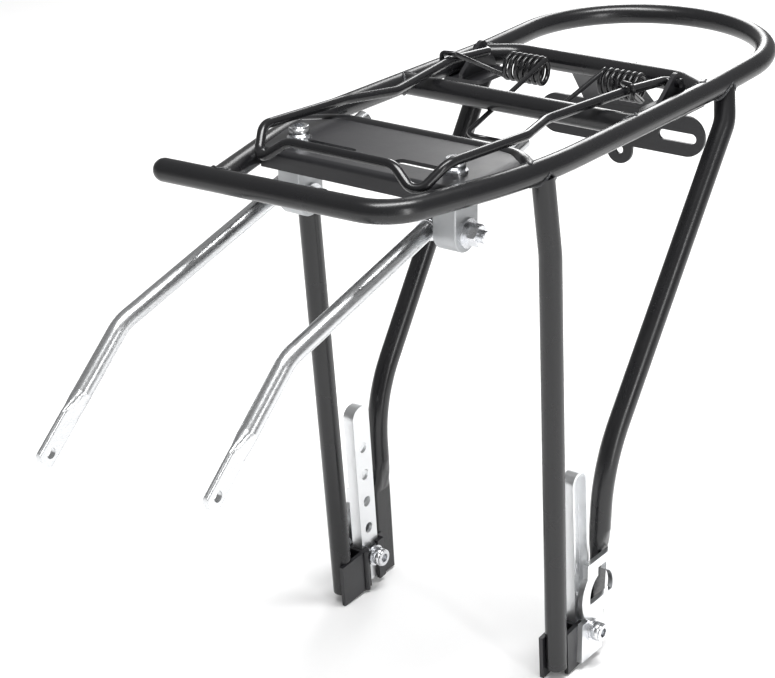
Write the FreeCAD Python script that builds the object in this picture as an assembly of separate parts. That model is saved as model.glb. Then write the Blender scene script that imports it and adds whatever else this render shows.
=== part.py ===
import FreeCAD, Part
import math
import os

# Rear rack for a bicycle: a bent-tube deck on four legs, a sprung wire bail over the deck,
# a slotted plate with two clamps for the stay rods, sliding foot bars and a reflector bracket.
# Drawing axes, in millimetres: x forwards along the bicycle, y to its left, z up, with x and z
# measured from the cut ends of the two front legs. At the end every piece is moved so that the
# origin lies midway between the top eyes of the foot bars, on the line of the dropout screws.

V = FreeCAD.Vector

# ---- tubes of the welded frame -------------------------------------------------------
tube_radius = 6.0
tube_bore = 4.8
deck_height = 294.7           # centre line of the deck tubes above the front feet
deck_half_width = 74.4        # centre line of each rail from the middle plane
tail_centre_x = -196.5        # centre of the half-round tail
tail_rise_x = -150.0          # where the rails start to climb
tail_slope = 0.038
tail_rise_bend = 200.0
front_bar_x = 119.5         # at its left corner
front_bar_skew = 0.05         # how far it runs forwards per millimetre to the right
front_bar_run = 131.0         # from that corner to the middle of its domed free end
taper_x = 32.0                # where the rails turn in towards the front bar
taper_angle = 15.5
taper_bend = 290.0
front_corner_bend = 24.0

front_cross_x = 17.5
middle_cross_x = -65.6
rear_cross_x = -154.0
cross_sweep = 16.0            # how far the bowed cross tubes come forwards at the rails
cross_bend_y = 54.0
cross_bend = 20.0

front_foot = V(0.2, 73.3, 2.5)
front_leg_top = V(25.0, 74.0, 292.0)
front_leg_bend_height = 250.0
front_leg_lean_x = 23.5 / 294.7
front_leg_lean_y = 3.3 / 294.7
front_leg_bend = 60.0

rear_foot = V(-41.0, 72.6, -2.0)
rear_leg_knee = V(-38.5, 76.8, 110.0)
rear_leg_bulge = V(-154.5, 80.5, 276.0)
rear_leg_top = V(-163.0, 74.8, 292.0)
rear_knee_bend = 80.0
rear_bulge_bend = 25.0
rear_flat_width = 15.5
rear_flat_thickness = 3.4
rear_flat_length = 54.0
rear_crush_length = 20.0

# ---- slotted front plate and the stay clamps -----------------------------------------
plate_top = 299.3
plate_thickness = 2.0
plate_front_x = 83.0
plate_lip_drop = 9.8
plate_fold = 3.0
plate_side_gap = 4.8          # plate edge from the rail's centre line
slot_x = 61.7
slot_width = 6.6
slot_inner_y = 12.5
screw_y = 47.5

screw_radius = 3.0
screw_head_radius = 5.0
screw_head_height = 6.0
screw_socket_width = 5.0
screw_socket_depth = 3.2
washer_radius = 6.3
washer_thickness = 1.6
nut_flats = 10.0
nut_height = 5.0

block_length = 20.0
block_thickness = 13.5
block_thread_depth = 16.0
eye_axis_height = 270.0
block_edge = 0.8
running_gap = 0.05

rod_radius = 4.75
rod_bore = 3.35
rod_pitch = 15.0              # how far the straight of each rod points down
rod_bend_turn = 26.0
rod_bend = 22.0
rod_straight = 202.0          # from the rear end to the corner of the bend
rod_tail = 71.0               # from that corner to the end eye
rod_flat_thickness = 3.2
rod_flat_width = 12.4
rod_flat_length = 19.0        # flat behind the end eye
rod_crush_length = 13.0
rod_eye_radius = 2.75
rod_eye_margin = 7.0
left_rod_reach = 118.3        # from the clamp to the corner of the bend
right_rod_reach = 126.1
eye_ring_radius = 6.6
eye_ring_length = 10.0
eye_face_gap = 0.3
eye_washer_radius = 7.5
spring_washer_radius = 5.3
eye_thread_end = 3.5

# ---- sprung wire bail ----------------------------------------------------------------
bail_radius = 2.5
bail_axis_x = -127.0
bail_axis_z = 302.0
bail_arm_y = 57.0
bail_end_y = 67.0
bail_hook = V(-86.3, 56.4, 305.8)
bail_waist = V(-20.9, 47.0, 305.0)
bail_shoulder = V(12.0, 56.3, 306.6)
bail_corner = V(80.0, 55.6, 310.2)
bail_dip = V(95.0, 47.5, 296.6)
bail_bar = V(90.5, 32.0, 308.0)
bail_end_bend = 4.0
bail_hook_bend = 60.0
bail_waist_bend = 16.0
bail_corner_bend = 11.0
bail_dip_bend = 6.5

tab_outer_y = 64.2
tab_thickness = 2.5
tab_flange_y = 51.0
tab_foot_height = 287.0
tab_corner = 6.0
tab_rear_x = -141.0
tab_front_x = -106.0
tab_eye_radius = 5.2
tab_shoulder = 5.0

spring_wire = 1.4
spring_axis_z = 295.3         # the coils hang below the bail's hinge line
coil_radius = 7.1
coil_inner_y = 19.2
coil_outer_y = 43.2
coil_turns = 6.5
spring_front_x = -41.0
spring_leg_y = 15.8
spring_gap = 0.15
spring_hook_tail = 5.0
spring_bend = 6.0

# ---- reflector bracket ---------------------------------------------------------------
sheet_thickness = 2.0
reflector_x = -180.0
stem_top_half_width = 20.0
stem_foot_half_width = 27.0
stem_top = 299.0
stem_fold_top = 287.0
wing_top = 266.4
wing_bottom = 242.2
wing_half_span = 55.5
reflector_slot_y = 38.0
reflector_slot_length = 24.5
reflector_slot_width = 6.0
lug_height = 239.0
lug_radius = 8.5
lug_hole_radius = 2.6

# ---- feet ----------------------------------------------------------------------------
bar_lean = 4.56               # degrees, the foot bars lean as the front legs do
bar_web_y = 69.5              # inner face of the web
bar_web = 2.0
bar_depth = 7.0
bar_flange = 1.8
bar_width = 15.0
bar_hole_radius = 3.25
bar_hole_pitch = 18.0
bar_holes = 5
bar_low_hole = V(-21.8, 0, 18.23)
bar_below = 18.0              # bar end below its lowest hole
bar_above = 26.5              # bar end above its highest hole
bar_end_round = 6.5

guide_gap = 0.2
guide_sheet = 2.4
guide_top = 25.0
guide_bottom = -1.0
guide_slot = 8.6              # open width between the front and rear guides
front_inner_reach = 26.0      # how far each cheek runs from the slot
front_outer_reach = 16.0
rear_inner_reach = 5.0
rear_outer_reach = 12.0
guide_fin = 7.0               # flange from the rear web to the crushed leg
guide_rib_radius = 1.8
guide_rib_across = -8.5

hook_thickness = 3.0
hook_tab_rear_x = -34.0
hook_tab_front_x = -12.0
hook_tab_bottom = 1.0
hook_tab_top = 25.0
hook_neck_rear_x = -43.0
hook_neck_front_x = -16.0
hook_top = 60.0
hook_round = V(-28.5, 0, 39.0)
hook_radius = 17.5
hook_eye = V(-31.5, 0, 38.0)
hook_eye_radius = 12.2
hook_eye_floor = 34.3
hook_slot_half_width = 4.3
hook_slot_top = 54.5


# ---- small tools ---------------------------------------------------------------------
def rounded_path(points, bends):
    """A wire of straight runs joined by tangent arcs, one bend radius per inner point."""
    edges = []
    start = points[0]
    for i, bend in enumerate(bends, 1):
        corner = points[i]
        back = (points[i - 1] - corner).normalize()
        ahead = (points[i + 1] - corner).normalize()
        half = back.getAngle(ahead) / 2
        middle = (back + ahead).normalize()
        run = bend / math.tan(half)
        first = corner + back * run
        last = corner + ahead * run
        crown = corner + middle * (bend / math.sin(half) - bend)
        edges.append(Part.LineSegment(start, first).toShape())
        edges.append(Part.Arc(first, crown, last).toShape())
        start = last
    edges.append(Part.LineSegment(start, points[-1]).toShape())
    return Part.Wire(edges)


def rod_along(path, radius):
    """A round bar or tube swept along a wire."""
    edge = path.Edges[0]
    start = edge.valueAt(edge.FirstParameter)
    ahead = edge.tangentAt(edge.FirstParameter)
    ring = Part.Wire(Part.makeCircle(radius, start, ahead))
    return path.makePipeShell([ring], True, False)


def bent_tube(points, bends, radius=tube_radius):
    return rod_along(rounded_path(points, bends), radius)


def mirrored(shape):
    return shape.mirror(V(0, 0, 0), V(0, 1, 0))


def on_side(shape, side):
    return shape if side == "left" else mirrored(shape)


def both_halves(half):
    """Joins a half that ends on the middle plane to its mirror image."""
    return half.fuse(mirrored(half)).removeSplitter()


def bored(tube, points, bends, bore=tube_bore):
    """Cuts a tube's bore, swept along the same centre line as its outside."""
    return tube.cut(bent_tube(points, bends, bore))


def single_solid(shape):
    solids = sorted(shape.Solids, key=lambda solid: solid.Volume)
    return solids[-1]


def slot_cutter(length, width, depth, middle, along, through):
    """A round-ended cutter of the given overall length, centred on middle."""
    along = V(along).normalize()
    through = V(through).normalize()
    across = through.cross(along)
    half = along * (length / 2 - width / 2)
    side = across * (width / 2)
    crown = along * (width / 2)
    a, b, c, d = middle - half + side, middle + half + side, middle + half - side, middle - half - side
    outline = Part.Wire([
        Part.LineSegment(a, b).toShape(),
        Part.Arc(b, middle + half + crown, c).toShape(),
        Part.LineSegment(c, d).toShape(),
        Part.Arc(d, middle - half - crown, a).toShape(),
    ])
    face = Part.Face(outline)
    face.translate(through * (-depth / 2))
    return face.extrude(through * depth)


def flat_section(centre, along, width, thickness):
    """The rounded outline of the crushed tube, square to its axis."""
    across = V(0, 1, 0).cross(along).normalize()
    half = across * (width / 2 - thickness / 2)
    side = V(0, thickness / 2, 0)
    crown = across * (thickness / 2)
    a, b, c, d = centre - half + side, centre + half + side, centre + half - side, centre - half - side
    return Part.Wire([
        Part.LineSegment(a, b).toShape(),
        Part.Arc(b, centre + half + crown, c).toShape(),
        Part.LineSegment(c, d).toShape(),
        Part.Arc(d, centre - half - crown, a).toShape(),
    ])


def flat_outline(corners):
    return Part.Face(Part.makePolygon(corners + [corners[0]]))


def round_edges(shape, radius, chosen):
    edges = [edge for edge in shape.Edges if chosen(edge)]
    return shape.makeFillet(radius, edges) if edges else shape


def hexagon(flats, height, middle, axis):
    """A nut's outer form, with its corners turned down at both ends."""
    corner = flats / math.sqrt(3)
    points = [V(corner * math.cos(math.radians(60 * i)), corner * math.sin(math.radians(60 * i)), 0)
              for i in range(6)]
    body = flat_outline(points).extrude(V(0, 0, height))
    rise = 0.16 * height
    top = Part.makeCone(corner + 0.1, corner - 0.6, rise, V(0, 0, height - rise))
    waist = Part.makeCylinder(corner + 0.1, height - 2 * rise, V(0, 0, rise))
    bottom = Part.makeCone(corner - 0.6, corner + 0.1, rise)
    body = body.common(waist.fuse([top, bottom]))
    body.Placement = FreeCAD.Placement(middle, FreeCAD.Rotation(V(0, 0, 1), axis))
    return body


def cap_screw(seat, axis, shank_length):
    """A socket cap screw. Its head stands on seat and points along axis."""
    head = Part.makeCylinder(screw_head_radius, screw_head_height)
    head = head.makeFillet(0.5, [head.Edges[0]])
    socket_radius = screw_socket_width / math.sqrt(3)
    points = [V(socket_radius * math.cos(math.radians(60 * i)),
                socket_radius * math.sin(math.radians(60 * i)),
                screw_head_height - screw_socket_depth) for i in range(6)]
    socket = flat_outline(points).extrude(V(0, 0, screw_socket_depth + 1))
    shank = Part.makeCylinder(screw_radius, shank_length, V(0, 0, -shank_length))
    screw = head.cut(socket).fuse(shank).removeSplitter()
    screw.Placement = FreeCAD.Placement(seat, FreeCAD.Rotation(V(0, 0, 1), axis))
    return single_solid(screw)


def washer(seat, axis, radius=washer_radius):
    disc = Part.makeCylinder(radius, washer_thickness)
    disc = disc.cut(Part.makeCylinder(screw_radius, washer_thickness))
    disc.Placement = FreeCAD.Placement(seat, FreeCAD.Rotation(V(0, 0, 1), axis))
    return disc


def nut(seat, axis):
    """A hexagon nut standing on seat, threaded for the screws."""
    body = hexagon(nut_flats, nut_height, seat, axis)
    return body.cut(Part.makeCylinder(screw_radius, nut_height, seat, axis))


# ---- the welded frame ----------------------------------------------------------------
def taper_half_width(x):
    """Centre line of a rail from the middle plane, ahead of the taper's corner."""
    return deck_half_width - max(0.0, x - taper_x) * math.tan(math.radians(taper_angle))


def deck_hoop():
    """The deck's outline: a front bar with one free end, both rails and the half-round tail.

    The bar bends into the left rail and runs past the right one, which is butted against it.
    The outside and the bore are returned apart, so that other tubes can be coped to the outside.
    """
    tail_z = deck_height + (tail_rise_x - tail_centre_x) * tail_slope
    corner = V(front_bar_x, taper_half_width(front_bar_x), deck_height)
    along_bar = V(front_bar_skew, -1, 0).normalize()
    free_end = corner + along_bar * front_bar_run
    butt_x = corner.x + 2 * corner.y * front_bar_skew
    butt = V(butt_x, taper_half_width(butt_x), deck_height)
    rail = [V(taper_x, deck_half_width, deck_height),
            V(tail_rise_x, deck_half_width, deck_height),
            V(tail_centre_x, deck_half_width, tail_z)]
    along_rail = (rail[0] - butt).normalize()
    back = V(-1, 0, tail_slope).normalize()
    centre = V(tail_centre_x, 0, tail_z)
    start = centre + V(0, deck_half_width, 0)
    apex = centre + back * deck_half_width
    crown = centre + (V(0, 1, 0) + back).normalize() * deck_half_width
    arc = Part.Wire(Part.Arc(start, crown, apex).toShape())
    forms = []
    for radius, inset in ((tube_radius, 0.0), (tube_bore, tube_radius)):
        left = bent_tube([free_end - along_bar * inset, corner] + rail,
                         [front_corner_bend, taper_bend, tail_rise_bend], radius)
        right = bent_tube([butt + along_rail * inset] + rail, [taper_bend, tail_rise_bend], radius)
        tail = rod_along(arc, radius)
        forms.append(left.fuse([mirrored(right), tail, mirrored(tail)]).removeSplitter())
    skin, core = forms
    skin = skin.fuse(Part.makeSphere(tube_radius, free_end)).removeSplitter()
    return skin, core


def cross_tube(x, sweep, deck):
    """A tube between the rails. A bowed one has both ends swept forwards."""
    if sweep:
        half = [V(x, 0, deck_height), V(x, cross_bend_y, deck_height),
                V(x + sweep, deck_half_width - 2.0, deck_height)]
        tube = bored(bent_tube(half, [cross_bend]), half, [cross_bend])
        sides = [single_solid(on_side(tube, side).cut(deck)) for side in ("left", "right")]
        return single_solid(sides[0].fuse(sides[1]).removeSplitter())
    end = V(x, -deck_half_width, deck_height)
    tube = Part.makeCylinder(tube_radius, 2 * deck_half_width, end, V(0, 1, 0))
    tube = tube.cut(Part.makeCylinder(tube_bore, 2 * deck_half_width, end, V(0, 1, 0)))
    return single_solid(tube.cut(deck))


def front_leg(side, deck):
    """Straight from the foot, then bent in to the rail just below the deck."""
    bend = V(front_leg_lean_x * front_leg_bend_height,
             front_foot.y + front_leg_lean_y * front_leg_bend_height, front_leg_bend_height)
    points = [front_foot, bend, front_leg_top]
    leg = bent_tube(points, [front_leg_bend])
    leg = bored(leg, points, [front_leg_bend])
    return on_side(single_solid(leg.cut(on_side(deck, side))), side)


def rear_leg(side, deck):
    """Crushed flat at the foot, bent back at the knee and bulged outwards under the rail."""
    down = (rear_foot - rear_leg_knee).normalize()
    flat_start = rear_foot - down * rear_flat_length
    round_end = flat_start - down * rear_crush_length
    points = [round_end, rear_leg_knee, rear_leg_bulge, rear_leg_top]
    bends = [rear_knee_bend, rear_bulge_bend]
    leg = bent_tube(points, bends)
    ring = Part.Wire(Part.makeCircle(tube_radius, round_end, down))
    middle = flat_section(round_end + down * (rear_crush_length / 2), down,
                          (rear_flat_width + 2 * tube_radius) / 2,
                          (rear_flat_thickness + 2 * tube_radius) / 2)
    first = flat_section(flat_start, down, rear_flat_width, rear_flat_thickness)
    crush = Part.makeLoft([ring, middle, first], True, False)
    flat = Part.Face(first).extrude(rear_foot - flat_start)
    leg = leg.fuse([crush, flat]).removeSplitter()
    leg = bored(leg, points, bends)
    return on_side(single_solid(leg.cut(on_side(deck, side))), side)


def front_plate(deck, front_cross):
    """A folded sheet between the rails, with a slot for each clamp screw."""
    rear_x = front_cross_x
    bottom = plate_top - plate_thickness
    inner_x = plate_front_x - plate_thickness
    foot = plate_top - plate_lip_drop
    half_span = taper_half_width(rear_x) - plate_side_gap
    profile = flat_outline([V(rear_x, -half_span, plate_top), V(plate_front_x, -half_span, plate_top),
                            V(plate_front_x, -half_span, foot), V(inner_x, -half_span, foot),
                            V(inner_x, -half_span, bottom), V(rear_x, -half_span, bottom)])
    sheet = profile.extrude(V(0, 2 * half_span, 0))
    sheet = round_edges(sheet, plate_fold, lambda edge: edge.BoundBox.XMin > plate_front_x - 0.01
                        and edge.BoundBox.ZMin > plate_top - 0.01)
    outline = [V(rear_x, cross_bend_y, foot)]
    for x in (rear_x + cross_sweep, plate_front_x + 1):
        outline.append(V(x, taper_half_width(x) - plate_side_gap, foot))
    outline += [V(point.x, -point.y, point.z) for point in reversed(outline)]
    sheet = sheet.common(flat_outline(outline).extrude(V(0, 0, plate_lip_drop)))
    outer_end = screw_y + slot_width / 2
    for side in (1, -1):
        middle = V(slot_x, side * (slot_inner_y + outer_end) / 2, bottom)
        sheet = sheet.cut(slot_cutter(outer_end - slot_inner_y, slot_width, 6 * plate_thickness,
                                      middle, V(0, 1, 0), V(0, 0, 1)))
    return single_solid(sheet.cut(deck).cut(front_cross))


def pivot_tab(side, deck, rear_cross):
    """An upright ear for the bail's end, on a foot that is welded under the rail's flank."""
    inner = tab_outer_y - tab_thickness
    lean = tab_eye_radius * 0.85
    rise = tab_eye_radius * 0.53
    ear = flat_outline([V(tab_rear_x, inner, tab_foot_height),
                        V(tab_front_x, inner, tab_foot_height),
                        V(tab_front_x, inner, tab_foot_height + tab_shoulder),
                        V(bail_axis_x + lean, inner, bail_axis_z + rise),
                        V(bail_axis_x - lean, inner, bail_axis_z + rise),
                        V(tab_rear_x, inner, tab_foot_height + tab_shoulder)])
    ear = ear.extrude(V(0, tab_thickness, 0))
    crown = Part.makeCylinder(tab_eye_radius, tab_thickness, V(bail_axis_x, inner, bail_axis_z),
                              V(0, 1, 0))
    foot = Part.makeBox(tab_front_x - tab_rear_x, deck_half_width - tab_flange_y, tab_thickness,
                        V(tab_rear_x, tab_flange_y, tab_foot_height))
    tab = ear.fuse([crown, foot]).removeSplitter()
    tab = round_edges(tab, tab_corner, lambda edge: abs(edge.tangentAt(edge.FirstParameter).z) > 0.99
                      and edge.BoundBox.YMax < tab_flange_y + 0.1)
    hole = Part.makeCylinder(bail_radius + running_gap, 4 * tab_thickness,
                             V(bail_axis_x, inner - tab_thickness, bail_axis_z), V(0, 1, 0))
    return on_side(single_solid(tab.cut([hole, on_side(deck, side), rear_cross])), side)


def reflector_bracket(rear_cross):
    """A sheet stem folded off the rear cross tube, with two slotted wings and a lug."""
    seat_x = rear_cross_x - tube_radius
    drop = V(reflector_x - seat_x, 0, wing_top - stem_fold_top)
    fold = sheet_thickness * math.tan(math.atan2(-drop.x, -drop.z) / 2)
    profile = flat_outline([V(seat_x, 0, stem_top), V(seat_x, 0, stem_fold_top),
                            V(reflector_x, 0, wing_top), V(reflector_x, 0, wing_top - 12),
                            V(reflector_x - sheet_thickness, 0, wing_top - 12),
                            V(reflector_x - sheet_thickness, 0, wing_top + fold),
                            V(seat_x - sheet_thickness, 0, stem_fold_top + fold),
                            V(seat_x - sheet_thickness, 0, stem_top)])
    stem = profile.extrude(V(0, 2 * stem_foot_half_width, 0))
    stem.translate(V(0, -stem_foot_half_width, 0))
    rear_x = reflector_x - sheet_thickness
    sides = flat_outline([V(rear_x, -stem_top_half_width, stem_top),
                          V(rear_x, stem_top_half_width, stem_top),
                          V(rear_x, stem_foot_half_width, wing_top - 12),
                          V(rear_x, -stem_foot_half_width, wing_top - 12)])
    stem = stem.common(sides.extrude(V(seat_x - rear_x, 0, 0)))
    wing_height = wing_top - wing_bottom
    back = V(-sheet_thickness, 0, 0)
    wings = slot_cutter(2 * wing_half_span, wing_height, sheet_thickness,
                        V(reflector_x, 0, (wing_top + wing_bottom) / 2) + back / 2,
                        V(0, 1, 0), V(1, 0, 0))
    lug = slot_cutter(wing_top - lug_height + lug_radius, 2 * lug_radius, sheet_thickness,
                      V(reflector_x, 0, (wing_top + lug_height - lug_radius) / 2) + back / 2,
                      V(0, 0, 1), V(1, 0, 0))
    bracket = stem.fuse([wings, lug]).removeSplitter()
    for side in (1, -1):
        middle = V(reflector_x, side * reflector_slot_y, (wing_top + wing_bottom) / 2 - 1.0)
        bracket = bracket.cut(slot_cutter(reflector_slot_length, reflector_slot_width,
                                          6 * sheet_thickness, middle, V(0, 1, 0), V(1, 0, 0)))
    bracket = bracket.cut(Part.makeCylinder(lug_hole_radius, 6 * sheet_thickness,
                                            V(reflector_x - 3 * sheet_thickness, 0, lug_height),
                                            V(1, 0, 0)))
    return single_solid(bracket.cut(rear_cross))


# ---- feet ----------------------------------------------------------------------------
bar_up = V(math.sin(math.radians(bar_lean)), 0, math.cos(math.radians(bar_lean)))
bar_across = V(-bar_up.z, 0, bar_up.x)


def on_bar(along, across, y):
    """A point given along the foot bar from its lowest hole, across it and in y."""
    return V(bar_low_hole.x, y, bar_low_hole.z) + bar_up * along + bar_across * across


def bar_block(low, high, back, front, inner_y, outer_y):
    """A block square to the foot bar, between two heights along it."""
    face = flat_outline([on_bar(low, back, inner_y), on_bar(low, front, inner_y),
                         on_bar(high, front, inner_y), on_bar(high, back, inner_y)])
    return face.extrude(V(0, outer_y - inner_y, 0))


def bar_outline(low, high, half, bend, y):
    """The foot bar's outline, square at the foot and round-cornered at the top."""
    arc = bend * (1 - math.sqrt(0.5))
    points = [on_bar(high - bend, half, y), on_bar(high - arc, half - arc, y), on_bar(high, half - bend, y),
              on_bar(high, bend - half, y), on_bar(high - arc, arc - half, y),
              on_bar(high - bend, -half, y)]
    return Part.Face(Part.Wire([
        Part.LineSegment(on_bar(low, half, y), points[0]).toShape(),
        Part.Arc(points[0], points[1], points[2]).toShape(),
        Part.LineSegment(points[2], points[3]).toShape(),
        Part.Arc(points[3], points[4], points[5]).toShape(),
        Part.LineSegment(points[5], on_bar(low, -half, y)).toShape(),
        Part.LineSegment(on_bar(low, -half, y), on_bar(low, half, y)).toShape(),
    ]))


def foot_bar(side):
    """A channel with its web towards the wheel and a row of eyes for the dropout screw."""
    low = -bar_below
    high = bar_hole_pitch * (bar_holes - 1) + bar_above
    half = bar_width / 2
    bar = bar_outline(low, high, half, bar_end_round, bar_web_y).extrude(V(0, bar_depth, 0))
    groove = bar_outline(low - 1, high - bar_flange, half - bar_flange, bar_end_round - bar_flange,
                         bar_web_y + bar_web).extrude(V(0, bar_depth, 0))
    bar = bar.cut(groove)
    for i in range(bar_holes):
        bar = bar.cut(Part.makeCylinder(bar_hole_radius, 4 * bar_web,
                                        on_bar(i * bar_hole_pitch, 0, bar_web_y - bar_web), V(0, 1, 0)))
    return on_side(single_solid(bar), side)


def foot_guide(side, leg, end):
    """Two cheeks welded to a leg that hold one edge of the foot bar between them."""
    slot = guide_slot / 2
    front = end == "front"
    sign = -1 if front else 1
    reaches = (front_inner_reach, front_outer_reach) if front else (rear_inner_reach, rear_outer_reach)
    inner = bar_web_y - guide_gap
    outer = bar_web_y + bar_depth + guide_gap
    low = guide_bottom - bar_low_hole.z
    high = guide_top - bar_low_hole.z
    cheeks = []
    for near, reach in zip((inner - guide_sheet, outer), reaches):
        edges = sorted((sign * slot, sign * (slot + reach)))
        cheeks.append(bar_block(low, high, edges[0], edges[1], near, near + guide_sheet))
    guide = cheeks[0].fuse(cheeks[1])
    web = sign * (bar_width / 2 + guide_gap)
    web_edges = sorted((web, web + sign * guide_sheet))
    guide = guide.fuse(bar_block(low, high, web_edges[0], web_edges[1],
                                 inner - guide_sheet, outer + guide_sheet)).removeSplitter()
    if front:
        guide = guide.fuse(Part.makeCylinder(guide_rib_radius, high - low,
                                             on_bar(low, guide_rib_across, inner - guide_sheet), bar_up))
    else:
        middle = rear_foot.y - guide_sheet / 2
        guide = guide.fuse(bar_block(low, high, web_edges[0], web_edges[0] + guide_fin,
                                     middle, middle + guide_sheet))
    return on_side(single_solid(guide.removeSplitter().cut(leg)), side)


def hook_plane_y():
    """Inner face of the hook plate's tab: it lies on the outer cheeks of the guides."""
    return bar_web_y + bar_depth + guide_gap + guide_sheet


def upright_block(rear_x, front_x, bottom, top, near, far):
    return Part.makeBox(front_x - rear_x, far - near, top - bottom, V(rear_x, near, bottom))


def cord_hook(side):
    """A flat plate under the foot screw, with a keyhole eye for a luggage strap."""
    near = hook_plane_y()
    far = near + hook_thickness
    level = V(0, near, 0)
    ring = Part.makeCylinder(hook_radius, hook_thickness, hook_round + level, V(0, 1, 0))
    below = hook_round.z - 2 * hook_radius
    rear = hook_round.x - 2 * hook_radius
    ring = ring.cut(upright_block(rear, rear + 4 * hook_radius, below, hook_tab_top, near, far))
    tab = upright_block(hook_tab_rear_x, hook_tab_front_x, hook_tab_bottom, hook_tab_top, near, far)
    neck = upright_block(hook_neck_rear_x, hook_neck_front_x, hook_round.z, hook_top, near, far)
    plate = tab.fuse([ring, neck]).removeSplitter()
    eye = Part.makeCylinder(hook_eye_radius, hook_thickness, hook_eye + level, V(0, 1, 0))
    eye = eye.cut(upright_block(rear, rear + 4 * hook_radius, below, hook_eye_floor, near, far))
    slot = upright_block(hook_eye.x - hook_slot_half_width, hook_eye.x + hook_slot_half_width,
                         hook_eye.z, hook_slot_top, near, far)
    hole = Part.makeCylinder(screw_radius, hook_thickness, on_bar(0, 0, near), V(0, 1, 0))
    return on_side(single_solid(plate.cut([eye, slot, hole])), side)


def foot_hardware(side):
    """The screw, its washer and its nut. The left screw's head is outside, the right one's inside."""
    outer_seat = hook_plane_y() + hook_thickness
    inner_seat = bar_web_y - guide_gap - guide_sheet
    out, back = V(0, 1, 0), V(0, -1, 0)
    if side == "left":
        head_seat, nut_seat, axis = outer_seat, inner_seat, out
    else:
        head_seat, nut_seat, axis = inner_seat, outer_seat, back
    grip = outer_seat - inner_seat
    step = washer_thickness
    head_y = head_seat + axis.y * step
    screw = cap_screw(on_bar(0, 0, head_y), axis, grip + 2 * step + nut_height + 2.0)
    head_washer = washer(on_bar(0, 0, head_seat), axis)
    nut_washer = washer(on_bar(0, 0, nut_seat), axis * -1)
    hex_nut = nut(on_bar(0, 0, nut_seat - axis.y * step), axis * -1)
    return [on_side(piece, side) for piece in (screw, head_washer, nut_washer, hex_nut)]


# ---- stay clamps and rods ------------------------------------------------------------
rod_ahead = V(math.cos(math.radians(rod_pitch)), 0, -math.sin(math.radians(rod_pitch)))
eye_offset = block_thickness / 2 + eye_face_gap + eye_ring_radius


def clamp_block(y):
    """An aluminium block under the plate, half round about the eye bolt's axis below."""
    half = block_length / 2
    top = plate_top - plate_thickness
    corner = V(slot_x - half, y - block_thickness / 2, eye_axis_height)
    block = Part.makeBox(block_length, block_thickness, top - eye_axis_height, corner)
    barrel = Part.makeCylinder(half, block_thickness,
                               V(slot_x, y - block_thickness / 2, eye_axis_height), V(0, 1, 0))
    block = block.fuse(barrel).removeSplitter()
    block = round_edges(block, block_edge, lambda edge: abs(edge.tangentAt(edge.FirstParameter).z) > 0.99
                        and abs(edge.BoundBox.XLength) < 0.01)
    thread = Part.makeCylinder(screw_radius, block_thread_depth, V(slot_x, y, top - block_thread_depth))
    bore = Part.makeCylinder(screw_radius + running_gap, block_thickness + 2,
                             V(slot_x, y - block_thickness / 2 - 1, eye_axis_height), V(0, 1, 0))
    return single_solid(block.cut(thread).cut(bore))


def clamp_screw(y):
    seat = V(slot_x, y, plate_top + washer_thickness)
    length = washer_thickness + plate_thickness + block_thread_depth - 1.0
    return cap_screw(seat, V(0, 0, 1), length)


def eye_bolt(y):
    """A bolt whose ring holds the rod, with its shank out through the block."""
    centre = V(slot_x, y - eye_offset, eye_axis_height)
    ring = Part.makeCylinder(eye_ring_radius, eye_ring_length, centre - rod_ahead * (eye_ring_length / 2),
                             rod_ahead)
    ring = ring.makeFillet(1.0, [edge for edge in ring.Edges if edge.Curve.TypeId == "Part::GeomCircle"])
    stack = eye_face_gap + block_thickness + 2 * washer_thickness + nut_height + eye_thread_end
    shank = Part.makeCylinder(screw_radius, eye_ring_radius + stack, centre, V(0, 1, 0))
    bolt = ring.fuse(shank).removeSplitter()
    hole = Part.makeCylinder(rod_radius + running_gap, 2 * eye_ring_length,
                             centre - rod_ahead * eye_ring_length, rod_ahead)
    return single_solid(bolt.cut(hole))


def eye_washers(y):
    """A plain washer and a spring washer between the block and the nut."""
    face = V(slot_x, y + block_thickness / 2, eye_axis_height)
    plain = washer(face, V(0, 1, 0), eye_washer_radius)
    spring = washer(face + V(0, washer_thickness, 0), V(0, 1, 0), spring_washer_radius)
    return plain, spring


def eye_nut(y):
    return nut(V(slot_x, y + block_thickness / 2 + 2 * washer_thickness, eye_axis_height), V(0, 1, 0))


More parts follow.
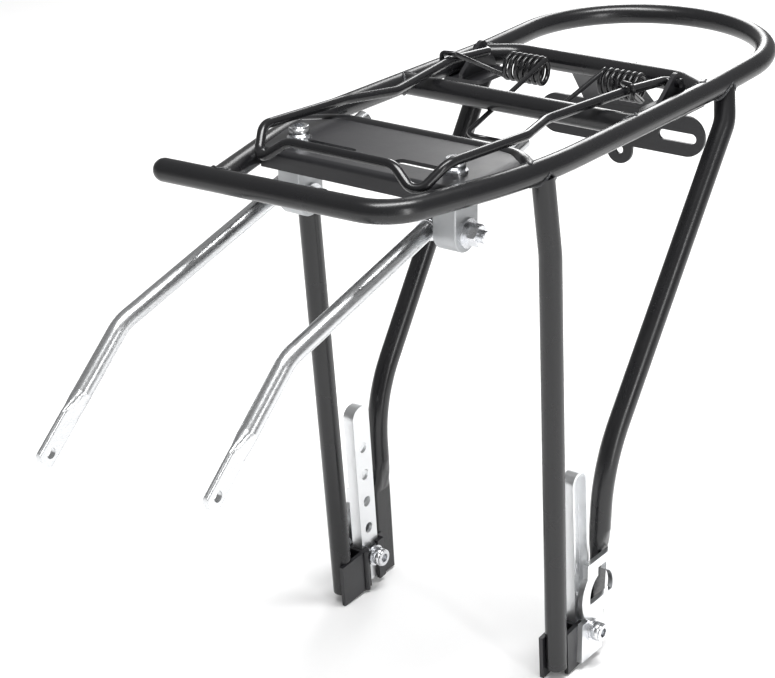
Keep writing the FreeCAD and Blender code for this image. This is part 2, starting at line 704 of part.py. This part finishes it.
def stay_rod(y, reach):
    """A tube with one bend, crushed flat and pierced at its front end."""
    pivot = V(slot_x, y - eye_offset, eye_axis_height)
    corner = pivot + rod_ahead * reach
    rear = corner - rod_ahead * rod_straight
    slope = math.radians(rod_pitch + rod_bend_turn)
    tail_ahead = V(math.cos(slope), 0, -math.sin(slope))
    eye = corner + tail_ahead * rod_tail
    flat_start = eye - tail_ahead * rod_flat_length
    round_end = flat_start - tail_ahead * rod_crush_length
    points = [rear, corner, round_end]
    tube = bored(bent_tube(points, [rod_bend], rod_radius), points, [rod_bend], rod_bore)
    ring = Part.Wire(Part.makeCircle(rod_radius, round_end, tail_ahead))
    middle = flat_section(round_end + tail_ahead * (rod_crush_length * 0.5), tail_ahead,
                          (rod_flat_width + 2 * rod_radius) / 2, (rod_flat_thickness + 2 * rod_radius) / 2)
    first = flat_section(flat_start, tail_ahead, rod_flat_width, rod_flat_thickness)
    crush = Part.makeLoft([ring, middle, first], True, False)
    tip = eye + tail_ahead * rod_eye_margin
    flat = Part.Face(first).extrude(tip - flat_start)
    half = rod_flat_width / 2
    trim = Part.makeCylinder(rod_eye_margin, rod_flat_thickness + 2,
                             eye - V(0, rod_flat_thickness / 2 + 1, 0), V(0, 1, 0))
    keep = Part.makeBox(4 * half, rod_flat_thickness + 2, rod_flat_length,
                        V(-2 * half, -rod_flat_thickness / 2 - 1, -rod_flat_length))
    keep.Placement = FreeCAD.Placement(eye, FreeCAD.Rotation(V(0, 0, 1), tail_ahead)).multiply(
        FreeCAD.Placement(V(0, 0, 0), FreeCAD.Rotation()))
    flat = flat.common(trim.fuse(keep))
    rod = tube.fuse([crush, flat]).removeSplitter()
    rod = rod.cut(Part.makeCylinder(rod_eye_radius, 4 * rod_flat_thickness,
                                    eye - V(0, 2 * rod_flat_thickness, 0), V(0, 1, 0)))
    return single_solid(rod)


# ---- bail and spring -----------------------------------------------------------------
def clamp_bail():
    """One bent wire: two hinged arms with a waist, and a cross bar between two finger dips."""
    half = [V(bail_axis_x, bail_end_y, bail_axis_z), V(bail_axis_x, bail_arm_y, bail_axis_z),
            bail_hook, bail_waist, bail_shoulder, bail_corner, bail_dip, bail_bar,
            V(bail_bar.x, 0, bail_bar.z)]
    bends = [bail_end_bend, bail_hook_bend, bail_waist_bend, bail_waist_bend, bail_corner_bend, bail_dip_bend,
             bail_corner_bend]
    return both_halves(bent_tube(half, bends, bail_radius))


def torsion_spring():
    """A double torsion spring: a yoke under the middle tube, two coils and two hooks."""
    under = deck_height - tube_radius - spring_wire - spring_gap
    top = V(bail_axis_x, coil_inner_y, spring_axis_z + coil_radius)
    share = (spring_front_x - top.x) / (middle_cross_x - top.x)
    front = V(spring_front_x, spring_leg_y, top.z + (under - top.z) * share)
    yoke = bent_tube([top, front, V(front.x, 0, front.z)], [spring_bend], spring_wire)
    length = coil_outer_y - coil_inner_y
    coil_path = Part.makeHelix(length / coil_turns, length, coil_radius)
    section = Part.Wire(Part.makeCircle(spring_wire, V(coil_radius, 0, 0), V(0, 1, 0)))
    coil = coil_path.makePipeShell([section], True, True)
    coil.rotate(V(0, 0, 0), V(0, 0, 1), -90)
    coil.rotate(V(0, 0, 0), V(1, 0, 0), -90)
    coil.translate(V(bail_axis_x, coil_inner_y, spring_axis_z))
    over = bail_hook + V(0, 0, bail_radius + spring_wire + spring_gap)
    outside = bail_radius + spring_wire + 0.6
    hook = bent_tube([V(bail_axis_x, coil_outer_y, spring_axis_z - coil_radius),
                      over + V(0, -3, 0), over + V(2, outside, 0),
                      over + V(2, outside, -bail_radius - spring_hook_tail)],
                     [spring_bend / 2, spring_wire * 1.3], spring_wire)
    return both_halves(single_solid(yoke.fuse([coil, hook])))


node_shapes = {}


def add(name, shape):
    node_shapes[name] = shape


def build():
    deck, deck_bore = deck_hoop()
    front_cross = cross_tube(front_cross_x, cross_sweep, deck)
    rear_cross = cross_tube(rear_cross_x, cross_sweep * 0.8, deck)
    add("deck_hoop", deck.cut(deck_bore))
    add("front_cross_tube", front_cross)
    add("middle_cross_tube", cross_tube(middle_cross_x, 0, deck))
    add("rear_cross_tube", rear_cross)
    add("front_plate", front_plate(deck, front_cross))
    add("reflector_bracket", reflector_bracket(rear_cross))
    for side in ("left", "right"):
        fore = front_leg(side, deck)
        aft = rear_leg(side, deck)
        add(side + "_front_leg", fore)
        add(side + "_rear_leg", aft)
        add(side + "_pivot_tab", pivot_tab(side, deck, rear_cross))
        add(side + "_foot_bar", foot_bar(side))
        add(side + "_front_guide", foot_guide(side, on_side(fore, side), "front"))
        add(side + "_rear_guide", foot_guide(side, on_side(aft, side), "rear"))
        add(side + "_cord_hook", cord_hook(side))
        screw, head_washer, nut_washer, hex_nut = foot_hardware(side)
        add(side + "_foot_screw", screw)
        add(side + "_head_washer", head_washer)
        add(side + "_nut_washer", nut_washer)
        add(side + "_foot_nut", hex_nut)
        y = screw_y if side == "left" else -screw_y
        add(side + "_clamp_block", clamp_block(y))
        add(side + "_clamp_screw", clamp_screw(y))
        add(side + "_clamp_washer", washer(V(slot_x, y, plate_top), V(0, 0, 1)))
        add(side + "_eye_bolt", eye_bolt(y))
        plain_washer, spring_washer = eye_washers(y)
        add(side + "_eye_washer", plain_washer)
        add(side + "_spring_washer", spring_washer)
        add(side + "_eye_nut", eye_nut(y))
        add(side + "_stay_rod", stay_rod(y, left_rod_reach if side == "left" else right_rod_reach))
    add("clamp_bail", clamp_bail())
    add("torsion_spring", torsion_spring())


build()
origin = on_bar(bar_hole_pitch * (bar_holes - 1), 0, 0)
os.makedirs("parts", exist_ok=True)
for name, shape in node_shapes.items():
    shape.translate(origin * -1)
    shape.exportStep("parts/" + name + ".step")
    print(name, len(shape.Solids), shape.isValid(), round(shape.Volume))
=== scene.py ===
import bmesh
import bpy
import math
from mathutils import Matrix, Vector


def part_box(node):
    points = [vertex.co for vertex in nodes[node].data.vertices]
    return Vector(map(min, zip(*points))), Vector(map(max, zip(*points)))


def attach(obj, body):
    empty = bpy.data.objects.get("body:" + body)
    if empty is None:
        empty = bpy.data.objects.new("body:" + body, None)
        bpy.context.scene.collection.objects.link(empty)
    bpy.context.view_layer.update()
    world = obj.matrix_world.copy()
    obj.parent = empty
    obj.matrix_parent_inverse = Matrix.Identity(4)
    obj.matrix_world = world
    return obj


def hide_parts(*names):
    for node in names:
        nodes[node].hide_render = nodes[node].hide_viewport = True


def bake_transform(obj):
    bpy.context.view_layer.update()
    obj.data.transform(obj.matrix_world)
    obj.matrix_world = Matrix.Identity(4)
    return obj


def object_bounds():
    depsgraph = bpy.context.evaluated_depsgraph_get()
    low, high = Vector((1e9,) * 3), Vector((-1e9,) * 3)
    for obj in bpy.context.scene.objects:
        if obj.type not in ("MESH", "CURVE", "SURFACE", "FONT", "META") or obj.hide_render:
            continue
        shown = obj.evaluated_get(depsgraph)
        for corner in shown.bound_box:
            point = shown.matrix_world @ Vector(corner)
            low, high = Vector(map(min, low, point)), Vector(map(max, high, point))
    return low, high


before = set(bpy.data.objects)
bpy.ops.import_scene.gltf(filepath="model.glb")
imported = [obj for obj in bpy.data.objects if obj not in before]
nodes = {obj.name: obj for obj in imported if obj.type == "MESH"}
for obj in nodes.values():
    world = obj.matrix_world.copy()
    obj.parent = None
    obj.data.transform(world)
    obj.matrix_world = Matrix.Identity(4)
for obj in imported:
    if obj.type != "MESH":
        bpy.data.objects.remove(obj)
box_at_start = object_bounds()
mm = 0.001

# --------------------------------------------------------------------------------------
# The welded frame: bent steel tube, plate and folded brackets, all in one satin black
# powder coat. The coat is baked on after welding, so one skin covers tubes and welds.
# --------------------------------------------------------------------------------------


def shader_group(name, inputs, outputs):
    """An empty node group with named sockets, and its input and output nodes."""
    group = bpy.data.node_groups.new(name, "ShaderNodeTree")
    for label, value in inputs.items():
        socket = group.interface.new_socket(label, in_out="INPUT", socket_type="NodeSocketFloat")
        socket.default_value = value
    for label, kind in outputs.items():
        group.interface.new_socket(label, in_out="OUTPUT", socket_type=kind)
    return group, group.nodes.new("NodeGroupInput"), group.nodes.new("NodeGroupOutput")


def math_node(tree, operation, first, second=None, third=None):
    node = tree.nodes.new("ShaderNodeMath")
    node.operation = operation
    for socket, value in zip(node.inputs, (first, second, third)):
        if isinstance(value, (int, float)):
            socket.default_value = value
        elif value is not None:
            tree.links.new(value, socket)
    return node.outputs[0]


def noise_node(tree, vector, scale, detail=3.0, rough=0.55):
    node = tree.nodes.new("ShaderNodeTexNoise")
    node.inputs["Detail"].default_value = detail
    node.inputs["Roughness"].default_value = rough
    tree.links.new(vector, node.inputs["Vector"])
    if isinstance(scale, (int, float)):
        node.inputs["Scale"].default_value = scale
    else:
        tree.links.new(scale, node.inputs["Scale"])
    return node.outputs["Fac"]


def remap(tree, value, low, high, new_low, new_high):
    node = tree.nodes.new("ShaderNodeMapRange")
    tree.links.new(value, node.inputs["Value"])
    for label, number in (("From Min", low), ("From Max", high), ("To Min", new_low), ("To Max", new_high)):
        node.inputs[label].default_value = number
    return node.outputs["Result"]


def make_surface_grain():
    """Fine skin grain with broad unevenness: the peel of a baked coat, or a cast face."""
    group, given, result = shader_group(
        "surface grain", {"Fine Scale": 900.0, "Broad Scale": 30.0},
        {"Height": "NodeSocketFloat", "Unevenness": "NodeSocketFloat"})
    place = group.nodes.new("ShaderNodeTexCoord").outputs["Object"]
    fine = noise_node(group, place, given.outputs["Fine Scale"], 2.0)
    broad = noise_node(group, place, given.outputs["Broad Scale"], 4.0)
    group.links.new(math_node(group, "MULTIPLY_ADD", broad, 0.35, fine), result.inputs["Height"])
    group.links.new(broad, result.inputs["Unevenness"])
    return group


def make_handling_marks():
    """Sparse short rubs and specks from handling and packing, as a mask from 0 to 1."""
    group, given, result = shader_group("handling marks", {"Amount": 0.5}, {"Mask": "NodeSocketFloat"})
    place = group.nodes.new("ShaderNodeTexCoord").outputs["Object"]
    stretch = group.nodes.new("ShaderNodeMapping")
    stretch.inputs["Rotation"].default_value = (0.4, 0.7, 0.3)
    stretch.inputs["Scale"].default_value = (1.0, 6.0, 2.5)
    group.links.new(place, stretch.inputs["Vector"])
    rubs = noise_node(group, stretch.outputs["Vector"], 160.0, 6.0, 0.7)
    areas = noise_node(group, place, 22.0, 2.0)
    rub_mask = remap(group, rubs, 0.64, 0.72, 0.0, 1.0)
    area_mask = remap(group, areas, 0.48, 0.66, 0.0, 1.0)
    both = math_node(group, "MULTIPLY", rub_mask, area_mask)
    group.links.new(math_node(group, "MULTIPLY", both, given.outputs["Amount"]), result.inputs["Mask"])
    return group


surface_grain = make_surface_grain()
handling_marks = make_handling_marks()


def place_group(tree, group, **values):
    node = tree.nodes.new("ShaderNodeGroup")
    node.node_tree = group
    for label, value in values.items():
        node.inputs[label.replace("_", " ")].default_value = value
    return node


def new_finish(name, metallic, coat=0.0, coat_roughness=0.2):
    finish = bpy.data.materials.new(name)
    finish.use_nodes = True
    shader = finish.node_tree.nodes["Principled BSDF"]
    shader.inputs["Metallic"].default_value = metallic
    shader.inputs["Coat Weight"].default_value = coat
    shader.inputs["Coat Roughness"].default_value = coat_roughness
    return finish, finish.node_tree, shader


def two_tone(tree, mask, base, mark, socket):
    mix = tree.nodes.new("ShaderNodeMix")
    mix.data_type = "RGBA"
    mix.inputs["A"].default_value = (*base, 1.0)
    mix.inputs["B"].default_value = (*mark, 1.0)
    tree.links.new(mask, mix.inputs["Factor"])
    tree.links.new(mix.outputs["Result"], socket)


def raise_surface(tree, height, shader, strength, depth):
    bump = tree.nodes.new("ShaderNodeBump")
    bump.inputs["Strength"].default_value = strength
    bump.inputs["Distance"].default_value = depth
    tree.links.new(height, bump.inputs["Height"])
    tree.links.new(bump.outputs["Normal"], shader.inputs["Normal"])


def coated_finish(name, base, mark, smooth, rough, fine_scale, peel, marks):
    """Powder or dipped coat over steel: peel, slight unevenness of gloss and a few rubs."""
    finish, tree, shader = new_finish(name, 0.0)
    grain = place_group(tree, surface_grain, Fine_Scale=fine_scale, Broad_Scale=26.0)
    rubs = place_group(tree, handling_marks, Amount=marks)
    two_tone(tree, rubs.outputs["Mask"], base, mark, shader.inputs["Base Color"])
    tree.links.new(remap(tree, grain.outputs["Unevenness"], 0.3, 0.7, smooth, rough),
                   shader.inputs["Roughness"])
    raise_surface(tree, grain.outputs["Height"], shader, peel, 0.12 * mm)
    return finish


powder_coat = coated_finish("satin black powder coat", (0.008, 0.008, 0.009), (0.05, 0.052, 0.056),
                            0.22, 0.32, 850.0, 0.22, 0.5)
sheet_coat = coated_finish("black coated sheet", (0.014, 0.014, 0.016), (0.06, 0.062, 0.065),
                           0.34, 0.46, 700.0, 0.3, 0.7)


def finish_node(name, finish):
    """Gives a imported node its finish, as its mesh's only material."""
    shape = nodes[name].data
    shape.materials.clear()
    shape.materials.append(finish)


sides = (("left", 1), ("right", -1))
for name in ("deck_hoop", "front_cross_tube", "middle_cross_tube", "rear_cross_tube"):
    finish_node(name, powder_coat)
for side, sign in sides:
    for part in ("front_leg", "rear_leg"):
        finish_node(side + "_" + part, powder_coat)
    for part in ("pivot_tab", "front_guide", "rear_guide"):
        finish_node(side + "_" + part, sheet_coat)
finish_node("front_plate", sheet_coat)
finish_node("reflector_bracket", sheet_coat)

# --------------------------------------------------------------------------------------
# Weld beads: every tube end is coped to the tube it meets and run round with one pass of
# weld wire, which leaves a small rippled bead that the powder coat then covers.
# --------------------------------------------------------------------------------------
tube_radius = 6.0 * mm
bead_radius = 1.45 * mm
bead_ripples = 26
bead_steps = 130
ripple_height = 0.09
crest_thinning = 0.6          # how much of the bead is lost where it crosses the host's crest
sweep_run, rear_sweep_run, sweep_width = 16.0, 12.8, 18.4   # directions of the bowed tubes' ends
tube_end_inset = 4.3 * mm     # from a bowed tube's foremost point to its centre line at the rail
front_joint_inset = 1.6 * mm  # how far the tapered rail has come in at the front tube
leg_joint_inset = 1.8 * mm    # and at the front legs
front_taper, leg_taper = 0.12, 0.11
deck_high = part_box("deck_hoop")[1]
rail_y = deck_high[1] - tube_radius
deck_z = 0.5 * (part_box("middle_cross_tube")[0][2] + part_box("middle_cross_tube")[1][2])
weld_finish = coated_finish("black coated weld bead", (0.023, 0.024, 0.027), (0.08, 0.082, 0.086),
                            0.30, 0.42, 650.0, 0.4, 0.4)


def new_piece(name, mesh, finish):
    """Turns a finished bmesh into a named object with its finish."""
    bmesh.ops.remove_doubles(mesh, verts=mesh.verts, dist=0.002 * mm)
    bmesh.ops.recalc_face_normals(mesh, faces=mesh.faces)
    data = bpy.data.meshes.new(name)
    mesh.to_mesh(data)
    mesh.free()
    data.materials.append(finish)
    data.shade_smooth()
    piece = bpy.data.objects.new(name, data)
    bpy.context.scene.collection.objects.link(piece)
    return piece


def weld_bead(name, joint, branch, host, branch_radius=tube_radius, host_radius=tube_radius):
    """A rippled ring round the end of a branch tube, sunk on to the tube that it meets."""
    branch, host = Vector(branch).normalized(), Vector(host).normalized()
    ring = bmesh.new()
    section = bmesh.ops.create_circle(ring, segments=10, radius=bead_radius)["verts"]
    square = branch.orthogonal().normalized()
    lie = Matrix((square, branch, square.cross(branch))).transposed()
    bmesh.ops.rotate(ring, verts=section, matrix=lie, cent=(0, 0, 0))
    bmesh.ops.translate(ring, verts=section, vec=square * branch_radius)
    bmesh.ops.spin(ring, geom=ring.verts[:] + ring.edges[:], cent=(0, 0, 0), axis=branch,
                   angle=2 * math.pi, steps=bead_steps, use_merge=True)
    side = branch.cross(square)
    across = branch - host * branch.dot(host)
    for point in ring.verts:
        turn = math.atan2(point.co.dot(side), point.co.dot(square))
        core = (square * math.cos(turn) + side * math.sin(turn)) * branch_radius
        off = core - host * core.dot(host)
        middle = off.dot(across)
        spread = middle ** 2 - across.length_squared * (off.length_squared - host_radius ** 2)
        lift = (-middle + math.sqrt(max(spread, 0.0))) / across.length_squared
        crest = min(1.0, off.length / host_radius)
        swell = (1.0 - crest_thinning * crest ** 6) * (1.0 + ripple_height * math.sin(bead_ripples * turn))
        point.co = core + (point.co - core) * swell + branch * lift + Vector(joint)
    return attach(new_piece(name, ring, weld_finish), "frame")


middle_x = 0.5 * (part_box("middle_cross_tube")[0][0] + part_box("middle_cross_tube")[1][0])
front_cross_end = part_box("front_cross_tube")[1][0] - tube_end_inset
rear_cross_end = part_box("rear_cross_tube")[1][0] - tube_end_inset
front_leg_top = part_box("left_front_leg")[1][0] - tube_radius
rear_leg_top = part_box("left_rear_leg")[0][0] + tube_radius
for side, sign in sides:
    rail = sign * rail_y
    weld_bead(side + "_middle_tube_weld", (middle_x, rail, deck_z), (0, -sign, 0), (1, 0, 0))
    weld_bead(side + "_front_tube_weld", (front_cross_end, sign * (rail_y - front_joint_inset), deck_z),
              (-sweep_run, -sign * sweep_width, 0), (1, -sign * front_taper, 0))
    weld_bead(side + "_rear_tube_weld", (rear_cross_end, rail, deck_z),
              (-rear_sweep_run, -sign * sweep_width, 0), (1, 0, 0))
    weld_bead(side + "_front_leg_weld", (front_leg_top, sign * (rail_y - leg_joint_inset), deck_z),
              (-5.1, sign * 2.1, -42.0), (1, -sign * leg_taper, 0))
    weld_bead(side + "_rear_leg_weld", (rear_leg_top, rail, deck_z), (8.5, sign * 5.7, -16.0),
              (1, 0, -0.02))
taper = math.tan(math.radians(15.5))
bar_skew = 0.05               # how far the front bar runs forwards for each step to the right
free_end_run = 1.9 * mm       # from the butt joint forwards to the bar's free end
taper_start = 7.0 * mm        # from the front legs' tops forwards to the start of the taper
butt_x = deck_high[0] - tube_radius - free_end_run
butt_y = -(rail_y - (butt_x - front_leg_top - taper_start) * taper)
weld_bead("right_front_bar_weld", (butt_x, butt_y, deck_z), (-1, -taper, 0), (bar_skew, -1, 0))

# --------------------------------------------------------------------------------------
# The bail: one length of bright-edged black spring wire, pushed into the ears of the tabs.
# --------------------------------------------------------------------------------------
wire_finish = coated_finish("black spring wire", (0.007, 0.007, 0.008), (0.09, 0.09, 0.095),
                            0.20, 0.30, 500.0, 0.08, 0.8)
finish_node("clamp_bail", wire_finish)
finish_node("torsion_spring", wire_finish)

# --------------------------------------------------------------------------------------
# The torsion spring: one wire wound into two coils, cut here at the middle of its yoke into two halves;
# each half runs from the frame at its inner end to the bail at its outer end.
# --------------------------------------------------------------------------------------
for side, sign in sides:
    wire = bmesh.new()
    wire.from_mesh(nodes["torsion_spring"].data)
    bmesh.ops.remove_doubles(wire, verts=wire.verts, dist=0.001 * mm)
    cut = bmesh.ops.bisect_plane(wire, geom=wire.verts[:] + wire.edges[:] + wire.faces[:],
                                 plane_co=(0, 0, 0), plane_no=(0, -sign, 0), clear_outer=True)
    rim = [edge for edge in cut["geom_cut"] if isinstance(edge, bmesh.types.BMEdge)]
    bmesh.ops.holes_fill(wire, edges=rim, sides=0)
    half = new_piece(side + "_spring_half", wire, wire_finish)
    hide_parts("torsion_spring")
    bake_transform(half)


# --------------------------------------------------------------------------------------
# Screws, washers and nuts: steel with bright zinc plating, cold headed and turned.
# --------------------------------------------------------------------------------------
def plated_finish(name, base, mark, smooth, rough, fine_scale, relief, metallic=1.0):
    """Plated or bare metal with a fine grain and dull patches."""
    finish, tree, shader = new_finish(name, metallic)
    grain = place_group(tree, surface_grain, Fine_Scale=fine_scale, Broad_Scale=120.0)
    dull = place_group(tree, handling_marks, Amount=0.9)
    two_tone(tree, dull.outputs["Mask"], base, mark, shader.inputs["Base Color"])
    tree.links.new(remap(tree, grain.outputs["Unevenness"], 0.3, 0.7, smooth, rough),
                   shader.inputs["Roughness"])
    raise_surface(tree, grain.outputs["Height"], shader, relief, 0.05 * mm)
    return finish


zinc_plate = plated_finish("bright zinc plate", (0.74, 0.75, 0.77), (0.5, 0.51, 0.53), 0.16, 0.34,
                           1500.0, 0.2)
hardware = ("clamp_screw", "clamp_washer", "eye_bolt", "eye_washer", "spring_washer", "eye_nut",
            "foot_screw", "head_washer", "nut_washer", "foot_nut")
for side, sign in sides:
    for part in hardware:
        finish_node(side + "_" + part, zinc_plate)

screw_radius = 3.0 * mm
head_radius = 5.0 * mm
thread_pitch = 1.0 * mm
thread_depth = 0.3 * mm
thread_sink = 0.12 * mm       # how far each crest's middle lies inside the shank
head_height = 6.0 * mm
knurl_low, knurl_high = 0.7 * mm, 5.0 * mm
knurl_root = 4.5 * mm
knurl_tooth = 0.16 * mm
knurl_steps = 80


def thread_sleeve(name, tip, inwards, length, body):
    """The rolled thread on a screw's free end, as crests that stand just proud of the shank."""
    inwards = Vector(inwards)
    square = inwards.orthogonal().normalized()
    sleeve = bmesh.new()
    turns = int(length / thread_pitch)
    for i in range(turns):
        crest = bmesh.ops.create_circle(sleeve, segments=4, radius=0.5 * thread_pitch)["verts"]
        lie = Matrix((square, inwards, square.cross(inwards))).transposed()
        bmesh.ops.scale(sleeve, verts=crest, vec=(2 * thread_depth / thread_pitch, 1.0, 1.0))
        bmesh.ops.rotate(sleeve, verts=crest, matrix=lie, cent=(0, 0, 0))
        bmesh.ops.translate(sleeve, verts=crest,
                            vec=square * (screw_radius - thread_sink) + inwards * (i + 0.6) * thread_pitch)
    bmesh.ops.spin(sleeve, geom=sleeve.verts[:] + sleeve.edges[:], cent=(0, 0, 0), axis=inwards,
                   angle=2 * math.pi, steps=48, use_merge=True)
    bmesh.ops.translate(sleeve, verts=sleeve.verts, vec=tip)
    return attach(new_piece(name, sleeve, zinc_plate), body)


def knurled_band(name, seat, upwards, body):
    """The knurling round a cap screw's head: fine teeth along the screw."""
    upwards = Vector(upwards)
    square = upwards.orthogonal().normalized()
    band = bmesh.new()
    corners = [band.verts.new(square * radius + upwards * height)
               for radius, height in ((knurl_root, knurl_low), (head_radius, knurl_low),
                                      (head_radius, knurl_high), (knurl_root, knurl_high))]
    for first, second in zip(corners, corners[1:] + corners[:1]):
        band.edges.new((first, second))
    bmesh.ops.spin(band, geom=band.verts[:] + band.edges[:], cent=(0, 0, 0), axis=upwards,
                   angle=2 * math.pi, steps=knurl_steps, use_merge=True)
    for point in band.verts:
        out = point.co - upwards * point.co.dot(upwards)
        if out.length > 4.9 * mm:
            turn = math.atan2(out.dot(upwards.cross(square)), out.dot(square))
            tooth = knurl_tooth if round(turn / math.radians(360 / knurl_steps)) % 2 else 0.0
            point.co += out.normalized() * tooth
    bmesh.ops.translate(band, verts=band.verts, vec=seat)
    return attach(new_piece(name, band, zinc_plate), body)


def middle_of(name):
    low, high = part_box(name)
    return [0.5 * (low[i] + high[i]) for i in range(3)]


for side, sign in sides:
    bolt_x, bolt_y, bolt_z = middle_of(side + "_eye_nut")
    bolt_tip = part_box(side + "_eye_bolt")[1][1]
    thread_sleeve(side + "_eye_bolt_thread", (bolt_x, bolt_tip, bolt_z), (0, -1, 0), 4.0 * mm,
                  side + "_eye")
    foot_x, foot_y, foot_z = middle_of(side + "_foot_nut")
    foot_low, foot_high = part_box(side + "_foot_screw")
    inwards = 1 if foot_y < middle_of(side + "_foot_screw")[1] else -1
    foot_tip = foot_low[1] if inwards > 0 else foot_high[1]
    thread_sleeve(side + "_foot_screw_thread", (foot_x, foot_tip, foot_z), (0, inwards, 0), 2.6 * mm,
                  side + "_foot")
    head_end = foot_high[1] - head_height if inwards > 0 else foot_low[1] + head_height
    knurled_band(side + "_foot_screw_knurl", (foot_x, head_end, foot_z), (0, inwards, 0), side + "_foot")
    cap_x, cap_y, cap_z = middle_of(side + "_clamp_screw")
    cap_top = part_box(side + "_clamp_screw")[1][2]
    knurled_band(side + "_clamp_screw_knurl", (cap_x, cap_y, cap_top - head_height), (0, 0, 1),
                 side + "_slider")

# --------------------------------------------------------------------------------------
# Clamp blocks: small castings of grey aluminium, tumbled so that their edges are soft.
# --------------------------------------------------------------------------------------
cast_grey = plated_finish("tumbled cast aluminium", (0.44, 0.45, 0.46), (0.30, 0.31, 0.32), 0.42, 0.6,
                          1100.0, 0.6, 0.85)
for side, sign in sides:
    finish_node(side + "_clamp_block", cast_grey)


# --------------------------------------------------------------------------------------
# Stay rods, foot bars and hook plates: drawn or rolled aluminium, brushed along its length.
# --------------------------------------------------------------------------------------
def make_brushed_lines():
    """Fine lines along one direction, which the scale given along each axis picks out."""
    group, given, result = shader_group("brushed lines", {"Along X": 1.0, "Along Y": 1.0, "Along Z": 1.0},
                                        {"Lines": "NodeSocketFloat"})
    place = group.nodes.new("ShaderNodeTexCoord").outputs["Object"]
    scale = group.nodes.new("ShaderNodeCombineXYZ")
    for axis in "XYZ":
        group.links.new(given.outputs["Along " + axis], scale.inputs[axis])
    stretched = group.nodes.new("ShaderNodeVectorMath")
    stretched.operation = "MULTIPLY"
    group.links.new(place, stretched.inputs[0])
    group.links.new(scale.outputs[0], stretched.inputs[1])
    group.links.new(noise_node(group, stretched.outputs[0], 1.0, 4.0, 0.6), result.inputs["Lines"])
    return group


brushed_lines = make_brushed_lines()


def brushed_finish(name, base, mark, smooth, rough, along):
    finish, tree, shader = new_finish(name, 1.0)
    lines = place_group(tree, brushed_lines, Along_X=along[0], Along_Y=along[1], Along_Z=along[2])
    dull = place_group(tree, handling_marks, Amount=0.6)
    two_tone(tree, dull.outputs["Mask"], base, mark, shader.inputs["Base Color"])
    tree.links.new(remap(tree, lines.outputs["Lines"], 0.3, 0.7, smooth, rough), shader.inputs["Roughness"])
    raise_surface(tree, lines.outputs["Lines"], shader, 0.08, 0.04 * mm)
    return finish


rod_finish = brushed_finish("drawn aluminium tube", (0.66, 0.67, 0.68), (0.52, 0.53, 0.54), 0.2, 0.34,
                            (60.0, 2200.0, 900.0))
bar_finish = brushed_finish("rolled aluminium bar", (0.78, 0.79, 0.80), (0.66, 0.67, 0.68), 0.28, 0.42,
                            (1800.0, 1800.0, 60.0))
for side, sign in sides:
    finish_node(side + "_stay_rod", rod_finish)
    finish_node(side + "_foot_bar", bar_finish)
    finish_node(side + "_cord_hook", bar_finish)

# --------------------------------------------------------------------------------------
# The studio: a plain pale floor under the feet, soft lamps and the camera.
# --------------------------------------------------------------------------------------
floor_height = box_at_start[0][2] - 0.2 * mm
floor_mesh = bpy.data.meshes.new("studio_floor")
sheet = bmesh.new()
bmesh.ops.create_grid(sheet, x_segments=1, y_segments=1, size=6.0)
bmesh.ops.translate(sheet, verts=sheet.verts, vec=(0, 0, floor_height))
sheet.to_mesh(floor_mesh)
sheet.free()
floor = bpy.data.objects.new("studio_floor", floor_mesh)
bpy.context.scene.collection.objects.link(floor)
floor_finish = bpy.data.materials.new("pale floor")
floor_finish.use_nodes = True
floor_shader = floor_finish.node_tree.nodes["Principled BSDF"]
floor_shader.inputs["Base Color"].default_value = (0.93, 0.93, 0.93, 1.0)
floor_shader.inputs["Roughness"].default_value = 0.9
floor_mesh.materials.append(floor_finish)

world = bpy.data.worlds.new("studio")
bpy.context.scene.world = world
world.use_nodes = True
world.node_tree.nodes["Background"].inputs["Color"].default_value = (1.0, 1.0, 1.0, 1.0)
sky = world.node_tree.nodes["Background"]
seen = world.node_tree.nodes.new("ShaderNodeLightPath")
spread_light = math_node(world.node_tree, "MULTIPLY_ADD", seen.outputs["Is Glossy Ray"], -0.3, 0.6)
world.node_tree.links.new(math_node(world.node_tree, "MULTIPLY_ADD", seen.outputs["Is Camera Ray"], 0.4,
                                    spread_light), sky.inputs["Strength"])


def soft_lamp(name, place, target, size, power):
    lamp = bpy.data.lights.new(name, "AREA")
    lamp.shape = "RECTANGLE"
    lamp.size = size[0]
    lamp.size_y = size[1]
    lamp.energy = power
    holder = bpy.data.objects.new(name, lamp)
    bpy.context.scene.collection.objects.link(holder)
    holder.location = place
    holder.rotation_euler = (Vector(target) - Vector(place)).to_track_quat("-Z", "Y").to_euler()


rack_middle = (-0.02, 0.0, 0.05)
soft_lamp("overhead_lamp", (0.1, 0.25, 1.7), rack_middle, (1.3, 0.4), 34.0)
soft_lamp("side_lamp", (0.6, 1.7, 0.5), rack_middle, (0.22, 1.2), 10.0)
soft_lamp("back_lamp", (-1.5, -0.7, 0.7), rack_middle, (0.4, 1.0), 8.0)

bpy.context.scene.view_settings.view_transform = "Standard"

yaw, pitch, roll = 3.77420417, -0.398254366, -0.0125913
look = Vector((math.cos(pitch) * math.cos(yaw), math.cos(pitch) * math.sin(yaw), math.sin(pitch)))
level = look.cross(Vector((0, 0, 1))).normalized()
upright = level.cross(look)
across = math.cos(roll) * level + math.sin(roll) * upright
upwards = math.cos(roll) * upright - math.sin(roll) * level
turn = Matrix((across, upwards, -look)).transposed()
camera_lens = bpy.data.cameras.new("camera")
camera_lens.sensor_width = 36.0
camera_lens.lens = 95.364
camera_lens.clip_start = 0.05
camera = bpy.data.objects.new("camera", camera_lens)
bpy.context.scene.collection.objects.link(camera)
camera.matrix_world = Matrix.Translation((0.85258, 0.57405, 0.51719)) @ turn.to_4x4()
bpy.context.scene.camera = camera
